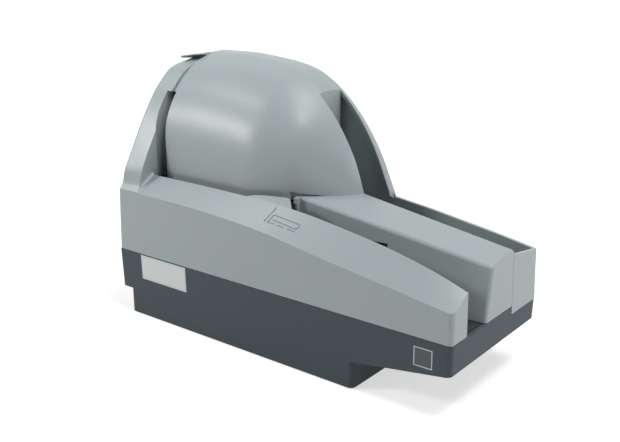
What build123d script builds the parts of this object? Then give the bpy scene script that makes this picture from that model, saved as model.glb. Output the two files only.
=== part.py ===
"""Desktop cheque scanner: an upright document track bent round a domed island.

The model is laid out from the left front bottom corner of the machine: X runs to the
right along the track, Y runs back and Z is up. Every piece is moved by the same
amount when it is written, so the parts share one frame with its origin at the middle
of the footprint, on the surface that the machine stands on. Millimetres throughout.
"""
import os
from math import atan2, cos, degrees, hypot, pi, sin

from build123d import *

# ---------------------------------------------------------------- overall sizes
length = 270.0            # left end to right end, at the seam
depth = 107.0             # front to back, at the seam
height = 181.4            # standing surface to the crest of the hood
seam_z = 46.9             # dark base below, pale covers above
seam_gap = 0.3            # shut line between two mouldings
shell = 2.5               # wall of every moulding
draft = 1.4               # degrees the mouldings narrow away from the seam
front_left_radius = 1.5   # upright corners of base and covers
front_right_radius = 3.0
back_radius = 2.0
least_radius = 0.5        # inner corners stay at least this round

# ---------------------------------------------------------------- base
underside_z = 18.4        # underside of the base beside the pedestal
right_underside_z = 28.6  # underside of the base at the right end
pedestal_left = 8.0
pedestal_right = 204.6
pedestal_corner = 3.5
pedestal_setback = 0.8    # pedestal face behind the seam, front and back
foot_radius = 7.0
foot_inset = 14.0         # foot centre from the pedestal's sides
tongue_drop = 5.1         # right end of the rear cover reaches below the seam
deck_thickness = 2.5

# ---------------------------------------------------------------- document track
track_gap = 6.5           # between the covers
guide_sheet = 0.8         # steel guides
guide_clearance = 0.3     # guide to the cover wall behind it
guide_height = 49.3
front_wall_depth = 17.0   # front face to the track
end_wall_depth = 16.0     # left face to the track
guide_bend = 11.5         # centre line radius of the left corners
skirt_z = 97.0            # covers start above the guides
bend_x = 104.0            # the front run turns off towards the feed throat here
throat_bend_x = 131.0
throat_x = 134.5          # throat opens into the hopper
throat_y = 32.0

# ---------------------------------------------------------------- front wall
crease = [(0.0, 90.3), (60.0, 89.3), (120.0, 85.9), (180.0, 77.4), (230.0, 70.7), (length, 65.3)]
inner_edge = [(0.0, 101.0), (60.0, 100.9), (116.0, 100.0), (150.0, 98.0), (183.0, 93.7),
              (217.0, 88.0), (250.0, 79.9), (length, 73.0)]
pad_outline = [(108.0, 15.0), (108.0, 17.0), (115.0, 21.2), (133.0, 28.6), (136.2, 27.0),
               (145.5, 17.0), (145.5, 15.0)]
pad_profile = [(15.0, -1.7), (17.0, 0.0), (20.0, 1.2), (24.0, 1.8), (30.0, 1.9)]   # rise above the inner edge

# ---------------------------------------------------------------- hood and island
arch_right = 19.7         # width of the left arch
hood_exponent = 2.1       # roundness of the dome's front
hood_back_drop = 6.0      # rounding along the back of the crest
pocket_left = 124.0       # left wall of the exit pocket
extension_back = 73.0
extension_middle = 60.0
extension_foot_left = 36.0      # front side at the covers' foot, at the hopper's left end
extension_foot_right = 39.8     # and at the right end
extension_lean_left = 0.061     # how far it leans back per millimetre of height
extension_lean_right = 0.1815
extension_left = 135.0    # left end of the hopper
extension_end_z = 80.9    # top of the extension at the right end, at mid depth
extension_slope = 0.152   # fall of its top per millimetre of length
extension_tilt = 0.10     # rise of its top per millimetre of depth
extension_edge = 2.5
end_wall_top_z = 79.6     # right end wall of the exit pocket, at its front
end_wall_front = extension_back + seam_gap
back_edge = [(130.0, 96.5), (168.5, 90.5), (194.0, 87.2), (218.0, 83.4), (241.0, 79.8), (length, 74.5)]
lip_right = 165.5         # the roof's lip over the exit pocket ends here
feeder_left = 148.0
feeder_right = 200.5
feeder_top_z = 80.5
feeder_cut_back = 47.0

# driving curves of the hood along X, from the left arch to where it sinks into the extension
hood_crest = [(20.0, 181.2), (45.0, height), (70.0, 179.8), (90.0, 177.3), (104.0, 173.8),
              (118.0, 166.2), (127.0, 158.9), (136.0, 149.6), (147.0, 134.8), (156.0, 118.6),
              (164.0, 100.0), (172.0, 84.0)]
hood_ridge = [(20.0, 92.0), (90.0, 92.0), (130.0, 84.0), (172.0, 84.0)]
hood_foot = [(20.0, 23.5), (60.0, 23.5), (96.0, 23.5), (106.0, 24.4), (118.0, 28.8),
             (129.5, 34.8), (138.0, 43.2), (147.0, 53.6), (156.0, 63.4), (164.0, 72.0), (172.0, 80.0)]
hood_brow = [(20.0, 103.0), (80.0, 103.0), (128.0, 103.0), (137.0, 101.0), (146.0, 97.0),
             (156.0, 90.0), (172.0, 78.0)]
hood_sections = 19

# ---------------------------------------------------------------- rollers and drive
shaft_radius = 3.0
running = 0.05            # radial clearance of a shaft in its bush
bush_radius = 5.0
drive_radius = 7.5
pinch_radius = 5.5
idler_radius = 4.0
nip_gap = 0.3
tyre_low_z = 54.0
tyre_high_z = 72.0
tyre_height = 11.0
pulley_radius = 7.0
pulley_height = 6.0
pulley_z = 35.0
lower_pulley_z = 26.5
motor_pulley_radius = 5.0
reduction_radius = 10.0
feed_pulley_radius = 5.5
belt_thickness = 1.2
belt_clearance = 0.05
frame_plate_z = 92.0
frame_plate = 2.0
bridge_z = 153.4
scan_height = 106.0
drive_x = 92.0            # front drive roller
corner_x = 45.0           # corner drive roller
rear_x = 52.0             # rear drive roller
exit_x = 108.0            # exit drive roller
platen_y = 70.0           # roller opposite the outer image sensor
idler_y = 52.0            # roller opposite the inner image sensor
nip_x = 122.0             # feed roller and separator meet here
pick_x = 168.0            # pick roller in the feeder window


# ---------------------------------------------------------------- derived places
lean = sin(draft * pi / 180) / cos(draft * pi / 180)
inner_front = front_wall_depth + track_gap        # island's front face
inner_left = end_wall_depth + track_gap           # island's left face
track_back = depth - shell - lean * (skirt_z - seam_z)   # rear cover's inner face above the guides
inner_back = track_back - track_gap               # island's back face
front_line = front_wall_depth + track_gap / 2     # centre lines of the track
left_line = end_wall_depth + track_gap / 2
back_line = track_back - track_gap / 2
deck_z = seam_z                                   # top of the deck
cover_foot_z = deck_z + seam_gap
guide_near = track_gap / 2 - guide_clearance - guide_sheet    # guide faces from the centre line
guide_far = track_gap / 2 - guide_clearance
run_angle = atan2(throat_y - front_line, throat_bend_x - bend_x)
run_mitre = sin(run_angle) / (1 + cos(run_angle))
drive_y = front_line + drive_radius
pinch_y = front_line - nip_gap - pinch_radius
rear_y = back_line - drive_radius


def block(x0, x1, y0, y1, z0, z1):
    """Box from its lowest to its highest corner."""
    return Pos((x0 + x1) / 2, (y0 + y1) / 2, (z0 + z1) / 2) * Box(x1 - x0, y1 - y0, z1 - z0)


def rod(x, y, radius, z0, z1):
    """Upright cylinder."""
    return Pos(x, y, (z0 + z1) / 2) * Cylinder(radius, z1 - z0)


def tube(x, y, outer, bore, z0, z1):
    """Upright tube."""
    return rod(x, y, outer, z0, z1) - rod(x, y, bore, z0 - 1, z1 + 1)


def slab_xz(points, y0, y1):
    """Outline in X and Z, made thick along Y."""
    return extrude(Plane.XZ.offset(-y1) * make_face(Polyline(*points, close=True)), amount=y1 - y0)


def slab_yz(points, x0, x1):
    """Outline in Y and Z, made thick along X."""
    return extrude(Plane.YZ.offset(x0) * make_face(Polyline(*points, close=True)), amount=x1 - x0)


def slab_xy(points, z0, z1):
    """Outline in plan, made thick upwards."""
    return extrude(Plane.XY.offset(z0) * make_face(Polyline(*points, close=True)), amount=z1 - z0)


def footprint(inset, wall=0.0):
    """Plan of the machine, set in on all sides; inside a wall its corners are tighter."""
    plan = Pos(length / 2, depth / 2) * Rectangle(length - 2 * inset, depth - 2 * inset)
    for x, y, radius in ((0, 0, front_left_radius), (length, 0, front_right_radius),
                         (length, depth, back_radius), (0, depth, back_radius)):
        corner = plan.vertices().sort_by_distance((x, y, 0))[0]
        plan = fillet(corner, max(radius - wall, least_radius))
    return plan


def along(points, x):
    """Height or place read at x from a smooth curve through the driving points."""
    xs = [p[0] for p in points]
    ys = [p[1] for p in points]
    slope = [(ys[i + 1] - ys[i]) / (xs[i + 1] - xs[i]) for i in range(len(xs) - 1)]
    tangent = [slope[0]]
    for before, after in zip(slope, slope[1:]):
        tangent.append(0.0 if before * after <= 0 else 2 * before * after / (before + after))
    tangent.append(slope[-1])
    i = max([j for j in range(len(xs) - 1) if xs[j] <= x] or [0])
    span = xs[i + 1] - xs[i]
    s = (x - xs[i]) / span
    return (ys[i] * (1 + 2 * s) * (1 - s) ** 2 + tangent[i] * span * s * (1 - s) ** 2
            + ys[i + 1] * s * s * (3 - 2 * s) + tangent[i + 1] * span * s * s * (s - 1))


# ---------------------------------------------------------------- covers
hood_floor_z = 60.0       # the hood's sections run down to here before they are trimmed
exponent = 2 / hood_exponent
# front outlines of the arch in Y and Z, along its left edge and beside the dome
arch_left_line = [(0.6, 90.3), (3.4, 94.6), (5.5, 102.2), (9.3, 110.2), (18.0, 126.1), (27.0, 142.0),
                  (32.2, 149.9), (37.9, 157.7), (45.7, 165.6), (59.1, 173.2), (75.4, 177.3), (92.0, 178.8)]
arch_right_line = [(0.6, 90.3), (3.8, 95.4), (6.6, 103.0), (10.2, 111.2), (19.4, 126.9), (28.2, 141.8),
                   (33.2, 149.4), (38.2, 156.2), (45.0, 163.4), (58.0, 172.6), (75.0, 179.2), (92.0, 181.2)]
arch_crown = arch_right_line[-1][1] - arch_left_line[-1][1]     # fall of its top towards the left
pillar_sweep = 3.5        # concave radius at the pillar's foot
arch_round = 2.5          # radius along the arch's left edge
brim_z = 156.5            # the dome's left wall steps in below this
wide = 400.0              # larger than the machine, for half spaces


def hood_front(x, inset):
    """Front outline of the hood at x, from the brow up to the crest."""
    foot_y = along(hood_foot, x) + inset
    crest_z = along(hood_crest, x) - inset
    brow_z = along(hood_brow, x)
    half = along(hood_ridge, x) - foot_y
    rise = crest_z - brow_z
    turns = [i * pi / 16 for i in range(1, 8)]
    points = [(foot_y + half * (1 - cos(t) ** exponent), brow_z + rise * sin(t) ** exponent) for t in turns]
    return [(foot_y, brow_z)] + points + [(foot_y + half, crest_z)]


def hood_back(x, inset, drop=0.0):
    """Back outline of the hood at x, from the crest to the top of the back wall."""
    ridge_y = along(hood_ridge, x)
    crest_z = along(hood_crest, x) - inset - drop
    edge_z = crest_z - hood_back_drop
    edge_y = depth - inset - lean * (edge_z - seam_z)
    turns = [i * pi / 12 for i in range(1, 6)]
    points = [(ridge_y + (edge_y - ridge_y) * sin(t) ** exponent,
               crest_z - hood_back_drop * (1 - cos(t) ** exponent)) for t in turns]
    return [(ridge_y, crest_z)] + points + [(edge_y, edge_z)]


def hood_section(x, inset):
    """Closed cross section of the hood at x."""
    front = hood_front(x, inset)
    back = hood_back(x, inset)
    foot_y = front[0][0]
    heel = (depth - inset - lean * (hood_floor_z - seam_z), hood_floor_z)
    edges = [Spline(*front, tangents=[(0, 1), (1, 0)]), Spline(*back, tangents=[(1, 0), (0, -1)]),
             Line(back[-1], heel), Line(heel, (foot_y, hood_floor_z)),
             Line((foot_y, hood_floor_z), front[0])]
    return Plane.YZ.offset(x) * make_face(Curve() + edges)


def hood(inset):
    """Solid under the hood's surface, set in by the wall on its inner copy."""
    first, last = hood_crest[0][0], hood_crest[-1][0]
    step = (last - first) / (hood_sections - 1)
    return loft([hood_section(first + i * step, inset) for i in range(hood_sections)])


def arch_edges(line, inset, foot_z, drop=0.0):
    """Outline of the left arch in Y and Z from its front line, set in square to that line."""
    front = []
    for before, (y, z), after in zip(line[:1] + line, line, line[1:] + line[-1:]):
        run = hypot(after[0] - before[0], after[1] - before[1])
        front.append((y + inset * (after[1] - before[1]) / run, z - inset * (after[0] - before[0]) / run))
    back = hood_back(hood_crest[0][0], inset, drop)
    front[-1] = back[0]
    heel = (depth - inset - lean * (foot_z - seam_z), foot_z)
    return [Spline(*front, tangents=[(0.5, 1), (1, 0)]),
            Spline(*back, tangents=[(1, 0), (0, -1)]), Line(back[-1], heel),
            Line(heel, (inset, foot_z)), Line((inset, foot_z), front[0])]


def leaning(x):
    """Plane parallel to the machine's left face, which leans inwards with the draft."""
    turn = draft * pi / 180
    return Plane(origin=(x - lean * seam_z, 0, 0), x_dir=(0, 1, 0), z_dir=(cos(turn), 0, -sin(turn)))


def arch():
    """Left arch: the pillar leans back and runs into the dome's outline, with a round left edge."""
    turns = [i * pi / 10 for i in range(6)]
    rounds = [(arch_round * (1 - cos(t)), arch_round * (1 - sin(t))) for t in turns]
    foot = cover_foot_z - 1
    outlines = [leaning(x) * make_face(Curve() + arch_edges(arch_left_line, inset, foot, arch_crown))
                for x, inset in rounds]
    outlines.append(leaning(hood_crest[0][0] + shell) * make_face(Curve() + arch_edges(arch_right_line, 0, foot)))
    right = block(arch_right, wide, -wide, inner_back + seam_gap, 0, wide)
    return loft(outlines, ruled=True) - right - block(-wide, wide, -wide, wide, -wide, cover_foot_z)


def arch_inside():
    """Hollow of the arch, between its left face and the face beside the dome."""
    face = make_face(Curve() + arch_edges(arch_right_line, 2 * shell, cover_foot_z - 1))
    return extrude(Plane.YZ * face, amount=arch_right - shell)


def pillar_foot():
    """Concave sweep between the pillar and the sloping ledge."""
    x, z, r = arch_right, crease[0][1], pillar_sweep
    rise = inner_edge[0][1] - crease[0][1]
    outline = Curve() + [Line((x - 1, z - 3), (x - 1, z + r)), Line((x - 1, z + r), (x, z + r)),
                         CenterArc((x + r, z + r), r, 180, 90), Line((x + r, z), (x + r, z - 3)),
                         Line((x + r, z - 3), (x - 1, z - 3))]
    run = hypot(front_wall_depth, rise)
    prism = extrude(Plane.XZ * make_face(outline), amount=run * 2,
                    dir=(0, front_wall_depth / run, rise / run))
    face = make_face(Curve() + arch_edges(arch_right_line, 0, cover_foot_z))
    reach = extrude(Plane.YZ.offset(x - 1) * face, amount=r + 1)
    return prism & reach & block(0, wide, 0, front_wall_depth, 0, wide)


def front_wall(inset):
    """Front wall with its sloping top, ruled from the crease to the track's edge."""
    left = arch_right / 2 + inset
    right = length - lean * (crease[-1][1] - seam_z) / 2 - inset
    foot = cover_foot_z - (1.0 if inset else 0.0)
    faces = []
    for y, curve in ((inset, crease), (front_wall_depth - inset, inner_edge)):
        top = [(left + (right - left) * i / 12, 0) for i in range(13)]
        top = [(x, along(curve, x) - inset) for x, _ in top]
        outline = Curve() + [Spline(*top), Line(top[-1], (right, foot)), Line((right, foot), (left, foot)),
                             Line((left, foot), top[0])]
        faces.append(Plane.XZ.offset(-y) * make_face(outline))
    return loft(faces, ruled=True)


def envelope(inset=0.0):
    """Everything above the seam narrows upwards inside this."""
    foot = seam_z - tongue_drop
    faces = [Plane.XY.offset(foot + rise) * footprint(inset + lean * rise, inset) for rise in (0.0, height)]
    return loft(faces, ruled=True)


def rounded_left(x0, x1, y0, y1, z0, z1, radius):
    """Box with rounded upright edges on its left."""
    box = block(x0, x1, y0, y1, z0, z1)
    return fillet(box.edges().filter_by(Axis.Z).sort_by(Axis.X)[:2], radius)


window_top_z = 157.0      # top of the opening between the arch and the dome
end_wall = 3.0            # right end wall of the exit pocket
tongue_corner = 1.4       # the base keeps its back corner up to the seam
pad_tip_radius = 2.0
pad_hollow = [(100.0, 14.4), (144.0, 14.4), (134.4, 25.2), (131.4, 30.0), (100.0, 30.0)]
pad_web_z = 90.0          # the front wall's inner sheet carries the pad above this
notch_front = 44.0        # clearance for the scan unit in the covers' inner walls
notch_back = 79.0
groove = 0.6              # depth of the pictogram's lines
groove_width = 0.7
picture = [((134.9, 15.1), (131.8, 6.8)), ((136.1, 11.3), (157.2, 11.0)), ((136.1, 11.3), (134.5, 6.9)),
           ((134.5, 6.9), (139.6, 7.0)), ((157.2, 11.0), (155.8, 8.5)), ((137.4, 8.7), (155.5, 8.4)),
           ((142.1, 7.0), (146.4, 6.9)), ((150.6, 7.1), (155.6, 7.1))]


def under_curve(points, x0, x1, y0, y1, drop=0.0):
    """Solid below a curve in X and Z, from the covers' foot up."""
    step = (x1 - x0) / 12
    top = [(x0 + i * step, along(points, x0 + i * step) - drop) for i in range(13)]
    outline = Curve() + [Spline(*top), Line(top[-1], (x1, cover_foot_z)),
                         Line((x1, cover_foot_z), (x0, cover_foot_z)), Line((x0, cover_foot_z), top[0])]
    return extrude(Plane.XZ.offset(-y1) * make_face(outline), amount=y1 - y0)


def pad():
    """Tongue of the ledge that covers the separator and ends the hopper."""
    plan = slab_xy(pad_outline, 0, wide)
    tips = [e for e in plan.edges().filter_by(Axis.Z) if e.center().Y > pad_outline[2][1] + 1]
    x0, x1 = pad_outline[0][0] - 1, pad_outline[-1][0] + 1
    z0, z1 = along(inner_edge, x0), along(inner_edge, x1)
    rise = [(y, z0 + up) for y, up in pad_profile]
    y0, y1 = rise[0][0], rise[-1][0]
    outline = Curve() + [Spline(*rise), Line(rise[-1], (y1, cover_foot_z - x1 + x0)),
                         Line((y1, cover_foot_z - x1 + x0), (y0, cover_foot_z - x1 + x0)),
                         Line((y0, cover_foot_z - x1 + x0), rise[0])]
    sheared = extrude(Plane.YZ.offset(x0) * make_face(outline), amount=hypot(x1 - x0, z1 - z0),
                      dir=(x1 - x0, 0, z1 - z0))
    return fillet(tips, pad_tip_radius) & sheared & block(x0, x1, y0, y1, cover_foot_z, wide)


def track_run(grow, z0, z1):
    """Room inside the outer boundary of the track, grown outwards."""
    return rounded_left(end_wall_depth - grow, wide, front_wall_depth - grow, track_back + grow, z0, z1,
                        guide_bend + track_gap / 2 + grow)


def outer_hollow():
    """Hollows of the outer cover, open at its foot."""
    x0, y0 = end_wall_depth - shell, front_wall_depth - shell
    room = arch_inside() - track_run(shell, skirt_z, window_top_z + shell)
    room += front_wall(shell)
    room = room & envelope(shell)
    room += slab_xy(pad_hollow, 0, skirt_z) - block(0, wide, 0, front_wall_depth, pad_web_z, wide)
    room += block(x0 - 1, pad_hollow[0][0] + 1, y0 - 0.5, front_wall_depth + 1, 0, skirt_z)
    room += block(x0 - 1, arch_right, y0, track_back - guide_bend, 0, skirt_z)
    return room + block(x0 - 1, end_wall_depth + 1, notch_front, notch_back, 0, window_top_z)


def pictogram():
    """Lines that show how a document stands in the hopper, engraved in the ledge."""
    lines = []
    for (x0, y0), (x1, y1) in picture:
        run = hypot(x1 - x0, y1 - y0)
        u, v = (x1 - x0) / run * groove_width / 2, (y1 - y0) / run * groove_width / 2
        corners = [(x0 - u - v, y0 - v + u), (x1 + u - v, y1 + v + u), (x1 + u + v, y1 + v - u),
                   (x0 - u + v, y0 - v - u)]
        lines.append(slab_xy(corners, skirt_z - end_wall_depth, skirt_z + end_wall_depth))
    body = lines[0]
    for line in lines[1:]:
        body += line
    return body - Pos(0, 0, -groove) * front_wall(0)


def rear_hollow(back):
    """Room behind the island: under the roof's lip, and open to the top beyond it."""
    x0, x1 = hood_crest[0][0] + shell, length - end_wall
    room = hood(shell) & block(x0, wide, back - 1, wide, 0, wide)
    room += block(x0, x1, back - 1, wide, 0, hood_floor_z + 1)
    return (room + block(lip_right, x1, back - 1, wide, 0, wide)) & envelope(shell)


def outer_cover():
    """Pale moulding round the outside of the track, with the arch over its left run."""
    back = inner_back + seam_gap
    body = front_wall(0) + arch() + pillar_foot() + pad()
    body += hood(0) & block(0, wide, back, wide, hood_floor_z, wide)
    body += under_curve(back_edge, back_edge[0][0], length, track_back - 1, depth)
    body += block(arch_right / 2, back_edge[0][0] + 1, track_back - 1, depth, cover_foot_z, hood_floor_z + 10)
    body += slab_yz([(end_wall_front, cover_foot_z), (end_wall_front, end_wall_top_z),
                     (depth, back_edge[-1][1]), (depth, cover_foot_z)], length - end_wall, length)
    body += block(length - end_wall, length, end_wall_front, depth - tongue_corner,
                  seam_z - tongue_drop, cover_foot_z + 1)
    body = body & envelope()
    left_run = track_run(0, 0, window_top_z) & envelope(shell)
    body -= left_run & block(0, hood_crest[0][0] + shell, 0, wide, 0, wide)
    return body - rear_hollow(back) - outer_hollow() - pictogram()


# ---------------------------------------------------------------- centre cover
brow_corner_x = 129.2     # the dome's skirt ends here and a wedge opens over the hopper's end
wedge_depth = 3.0
wedge_line = [(129.2, 60.0), (129.2, 103.0), (146.0, 99.2), (165.0, 95.0), (165.0, 60.0)]
nozzle_left = 78.0
nozzle_right = 94.0
nozzle_top_z = 113.0


def extension_top(drop):
    """Half space above the extension's sloping top."""
    turn_x = degrees(atan2(extension_tilt, 1))
    turn_y = degrees(atan2(extension_slope, 1))
    place = Pos(length, extension_middle, extension_end_z - drop) * Rot(turn_x, turn_y, 0)
    return place * Pos(0, 0, wide / 2) * Box(2 * wide, 2 * wide, wide)


def extension_side(z):
    """Front side of the extension at height z, at its left and right ends."""
    rise = z - cover_foot_z
    return extension_foot_left + extension_lean_left * rise, extension_foot_right + extension_lean_right * rise


def extension_plan(z, inset):
    """Plan of the extension at height z: hopper end, side, right end and back."""
    near, far = extension_side(z)
    left, front = extension_left - shell, throat_y + track_gap / 2
    right, back = length, extension_back - inset
    if inset:
        outline = Polyline((extension_left, near + inset), (right, far + inset), (right, back), (left - 1, back),
                           (left - 1, near + inset), close=True)
    else:
        outline = Polyline((left, front), (extension_left, front), (extension_left, near), (right, far),
                           (right, back), (left, back), close=True)
    return Plane.XY.offset(z) * make_face(outline)


def extension():
    """Long box between the hopper and the exit pocket."""
    top = extension_end_z + 40
    body = loft([extension_plan(cover_foot_z, 0), extension_plan(top, 0)], ruled=True) & envelope()
    body -= extension_top(0)
    ridge = [e for e in body.edges() if e.center().Z > extension_end_z - 4 and e.center().X > extension_left + 2
             and abs(e.center().Y - extension_back) > 1]
    body = fillet(ridge, extension_edge)
    post = [e for e in body.edges() if e.center().X > length - 2 and e.center().Y < extension_middle
            and e.bounding_box().size.Z > 15]
    return fillet(post, extension_edge - 0.5)


def extension_hollow():
    """Hollow of the extension, open at its foot and towards the dome."""
    top = extension_end_z + 40
    room = loft([extension_plan(0, shell), extension_plan(top, shell)], ruled=True) & envelope(shell)
    return room - extension_top(shell)


def behind_foot(set_back, z1):
    """Everything in front of the dome's foot line moved back, right of the brow's corner."""
    xs = [brow_corner_x + i * 3.0 for i in range(10)]
    line = [(x, along(hood_foot, x) + set_back) for x in xs]
    return slab_xy([(xs[0], 0.0)] + line + [(xs[-1], 0.0)], 0, z1)


def dome():
    """Outside of the dome, down to the track guides."""
    left = hood_crest[0][0]
    body = hood(0) & block(left, wide, 0, inner_back, skirt_z, wide)
    body -= block(pocket_left, wide, extension_back, wide, 0, wide)
    body -= block(0, left + shell + 6, 0, wide, 0, brim_z) - rounded_left(
        inner_left, wide, inner_front, inner_back, 0, brim_z, guide_bend - track_gap / 2)
    return body - (behind_foot(wedge_depth, wide) & slab_xz(wedge_line, 0, wide))


def dome_hollow():
    """Inside of the dome."""
    left, back = hood_crest[0][0] + shell, inner_back - shell
    room = hood(shell) & (block(left, wide, 0, back, brim_z + shell, wide)
                          + rounded_left(inner_left + shell, wide, inner_front + shell, back, 0,
                                         brim_z + shell + 1, guide_bend - track_gap / 2 - shell))
    room -= block(pocket_left - shell, wide, extension_back - shell, wide, 0, wide)
    return room - behind_foot(wedge_depth + shell, wedge_line[1][1] + shell)


def centre_cover():
    """Pale moulding of the island: dome, walls of the exit pocket and extension."""
    x, y, s = pocket_left, extension_back, shell
    body = dome() + extension()
    body += block(x - s, extension_left, y - s, y, cover_foot_z, skirt_z + 1)
    body += block(x - s, x, y - s, inner_back, cover_foot_z, skirt_z + 1)
    body -= dome_hollow() + extension_hollow()
    body -= block(inner_left - 1, inner_left + s + 1, notch_front - 3, notch_back, 0, brim_z - 0.5)
    body -= block(nozzle_left, nozzle_right, inner_back - s - 1, wide, 0, nozzle_top_z)
    body -= block(feeder_left, feeder_right, 0, feeder_cut_back, 0, feeder_top_z)
    return body


# ---------------------------------------------------------------- base
plate_low_z = 0.6         # bottom plate
plate_top_z = 4.0
boss_radius = 3.5
bearing_radius = 6.0
bearing_top_z = 24.4
shaft_low_z = 21.2
screw_radius = 1.45
screw_bore = 1.5
screw_head = 2.8
screw_head_height = 1.8
screw_length = 6.0
board_z = 6.0
board_thickness = 1.6
board = (26.0, 186.0, 14.0, 101.0)
board_posts = [(32.0, 20.0), (180.0, 20.0), (32.0, 88.0), (180.0, 88.0)]
bottom_bosses = [(14.5, 40.0), (14.5, 70.0), (197.5, 40.0), (197.5, 70.0)]
deck_bosses = [(9.0, 9.0), (9.0, depth - 11.0), (150.0, 8.0), (length - 8.0, 8.0), (length - 8.0, 60.0),
               (150.0, 64.0)]
usb = (40.0, 52.0, 90.0, 105.8, 7.6, 18.0)
jack = (62.0, 71.0, 92.0, 105.8, 7.6, 18.0)
port_gap = 0.3
front_label = (22.0, 66.0, 28.6, 46.4)     # left, right, bottom, top
mark_label = (length - 24.2, length - 11.4, 29.5, 42.0)
label_thick = 0.3
motor_x, motor_y, motor_side, motor_height = 80.0, 60.0, 42.0, 40.0
motor_screw_pitch = 31.0
feed_motor_x, feed_motor_y, feed_motor_radius, feed_motor_height = 188.0, 59.0, 10.5, 25.0
pick_y, pick_radius = 47.5, 10.5
feed_radius, separator_radius = 8.0, 6.0
motor_shaft = 2.5
motor_bore_height = 13.0  # the rotor's shaft reaches this far into a motor
pin_radius = 1.5
separator_pin = 2.0
idler_axle = 2.0

# sensor faces and places set from the track
glass_proud = 1.0
outer_glass_x = end_wall_depth + glass_proud
inner_glass_x = inner_left - glass_proud
platen_x = outer_glass_x + nip_gap + drive_radius
idler_x = inner_glass_x - nip_gap - idler_radius
nip_y = front_line + (nip_x - bend_x) * sin(run_angle) / cos(run_angle)
feed_x = nip_x - feed_radius * sin(run_angle)
feed_y = nip_y + feed_radius * cos(run_angle)
separator_x = nip_x + (separator_radius + nip_gap) * sin(run_angle)
separator_y = nip_y - (separator_radius + nip_gap) * cos(run_angle)
belt_shafts = [(drive_x, drive_y), (corner_x, drive_y), (platen_x, platen_y), (rear_x, rear_y), (exit_x, rear_y)]
feed_shafts = [(feed_x, feed_y), (pick_x, pick_y)]
all_shafts = belt_shafts + feed_shafts
deck_low_z = deck_z - deck_thickness
bore = shaft_radius + running
tyres = [(tyre_low_z, tyre_low_z + tyre_height), (tyre_high_z, tyre_high_z + tyre_height)]
feed_tyres = [(50.0, 62.0), (70.0, 82.0)]
pick_tyres = [(50.0, 60.0), (64.0, 74.0)]


def shrinking(inset, z0, z1):
    """Block with the machine's footprint at the seam, narrower downwards."""
    faces = [Plane.XY.offset(z) * footprint(inset + lean * (seam_z - z), inset) for z in (z0, z1)]
    return loft(faces, ruled=True)


def underside_at(x):
    """Height of the underside at x: flat beside the pedestal, sloping up beyond it."""
    slope = (right_underside_z - underside_z) / (length - pedestal_right)
    return underside_z + max(0.0, x - pedestal_right) * slope


def underside_wedge(rise):
    """Everything below the sloping underside of the right end."""
    over = 10.0
    x1 = length + over
    z0, z1 = underside_z + rise, underside_at(x1) + rise
    return slab_xz([(pedestal_right, z0), (x1, z1), (x1, -over), (pedestal_right, -over)], -over, depth + over)


def pedestal(inset, z0, z1):
    """Block with the pedestal's plan."""
    y0, y1 = pedestal_setback + inset, depth - pedestal_setback - inset
    box = block(pedestal_left + inset, pedestal_right - inset, y0, y1, z0, z1)
    return fillet(box.edges().filter_by(Axis.Z), pedestal_corner - inset)


def base_casing():
    """Dark lower housing: a tub for the drive with the pedestal below it."""
    floor = underside_z + shell
    body = shrinking(0, underside_z, seam_z) - underside_wedge(0)
    body -= shrinking(shell, floor, seam_z + 1) - underside_wedge(shell)
    body += pedestal(0, plate_low_z, underside_z + 0.1) - pedestal(shell, 0, underside_z)
    for x, y in deck_bosses:
        body += tube(x, y, boss_radius, screw_bore, underside_at(x + boss_radius) + shell / 2, deck_low_z)
    for x, y in bottom_bosses:
        body += tube(x, y, boss_radius + 0.6, screw_bore, plate_top_z, underside_z + 0.4)
    for x, y in all_shafts:
        body += tube(x, y, bearing_radius, bore, floor - 0.1, bearing_top_z)
    body = body - block(length - end_wall - seam_gap, length + 1, end_wall_front - 2 * seam_gap,
                        depth - tongue_corner + seam_gap, seam_z - tongue_drop - seam_gap, seam_z + 1)
    body -= label(front_label)
    body -= label(mark_label)
    for x0, x1, _, _, z0, z1 in (usb, jack):
        body -= block(x0 - port_gap, x1 + port_gap, depth - 2 * shell - 1, depth, z0 - port_gap, z1)
    return body


def bottom_plate():
    """Sheet that closes the pedestal, with posts for the board and dishes for the feet."""
    body = pedestal(shell + seam_gap, plate_low_z, plate_top_z)
    for x, y in board_posts:
        body += rod(x, y, boss_radius, plate_top_z, board_z)
    for x, y in board_posts:
        body -= rod(x, y, screw_bore, plate_low_z + 0.5, board_z + 1)
    for x, y in feet():
        body -= rod(x, y, foot_radius + 0.1, 0, 2 * plate_low_z)
    for x, y in bottom_bosses:
        body -= rod(x, y, screw_bore, 0, plate_top_z + 1)
        body -= rod(x, y, screw_head + 0.3, 0, plate_low_z + screw_head_height)
    return body


def feet():
    """Centres of the four rubber feet."""
    xs = (pedestal_left + foot_inset, pedestal_right - foot_inset)
    ys = (pedestal_setback + foot_inset, depth - pedestal_setback - foot_inset)
    return [(x, y) for x in xs for y in ys]


def rubber_feet():
    """Four glued feet."""
    pads = [rod(x, y, foot_radius, 0, 2 * plate_low_z) for x, y in feet()]
    return [chamfer(p.edges().group_by(Axis.Z)[0], 0.4) for p in pads]


def screw_up(x, y, z):
    """Pan-head screw driven down, its head on the surface at z."""
    return rod(x, y, screw_head, z, z + screw_head_height) + rod(x, y, screw_radius, z - screw_length, z + 0.1)


def screw_down(x, y, z):
    """Pan-head screw driven up, its head under the surface at z."""
    return rod(x, y, screw_head, z - screw_head_height, z) + rod(x, y, screw_radius, z - 0.1, z + screw_length)


def motor_holes():
    """Screw places of the main motor's flange."""
    p = motor_screw_pitch / 2
    return [(motor_x + i * p, motor_y + j * p) for i in (-1, 1) for j in (-1, 1)]


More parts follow.
